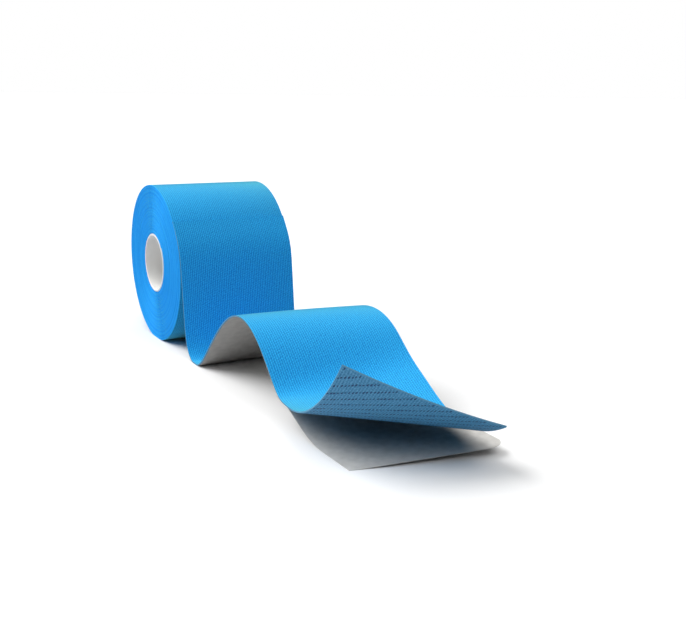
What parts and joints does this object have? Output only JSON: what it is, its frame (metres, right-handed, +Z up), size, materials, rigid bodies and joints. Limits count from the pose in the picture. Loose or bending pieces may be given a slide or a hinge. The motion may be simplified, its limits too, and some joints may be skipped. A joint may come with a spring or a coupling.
{
  "type": "kinesiology tape roll",
  "caption": "Roll of wide elastic sports tape on a core tube, its loose end drawn off in a hump and half peeled from the paper liner.",
  "frame": {"origin": "middle of the flat spot on which the roll rests, on the surface", "axes": "+X along the roll's axis, to the right as seen from the loose end; -Y the way the loose end runs; +Z up from the surface"},
  "size_m": [0.0569, 0.2311, 0.0681],
  "materials": {
    "wound_tape": "matte woven elastic cotton, sky blue, wound with its liner",
    "core_plastic": "smooth white",
    "tape_fabric": "matte woven elastic cotton, sky blue, adhesive underside duller",
    "liner_paper": "smooth white release paper"
  },
  "bodies": {
    "root": {"wound_roll": "wound_tape", "core_tube": "core_plastic", "tape_tail": "tape_fabric", "liner_tail": "liner_paper"}
  },
  "joints": []
}
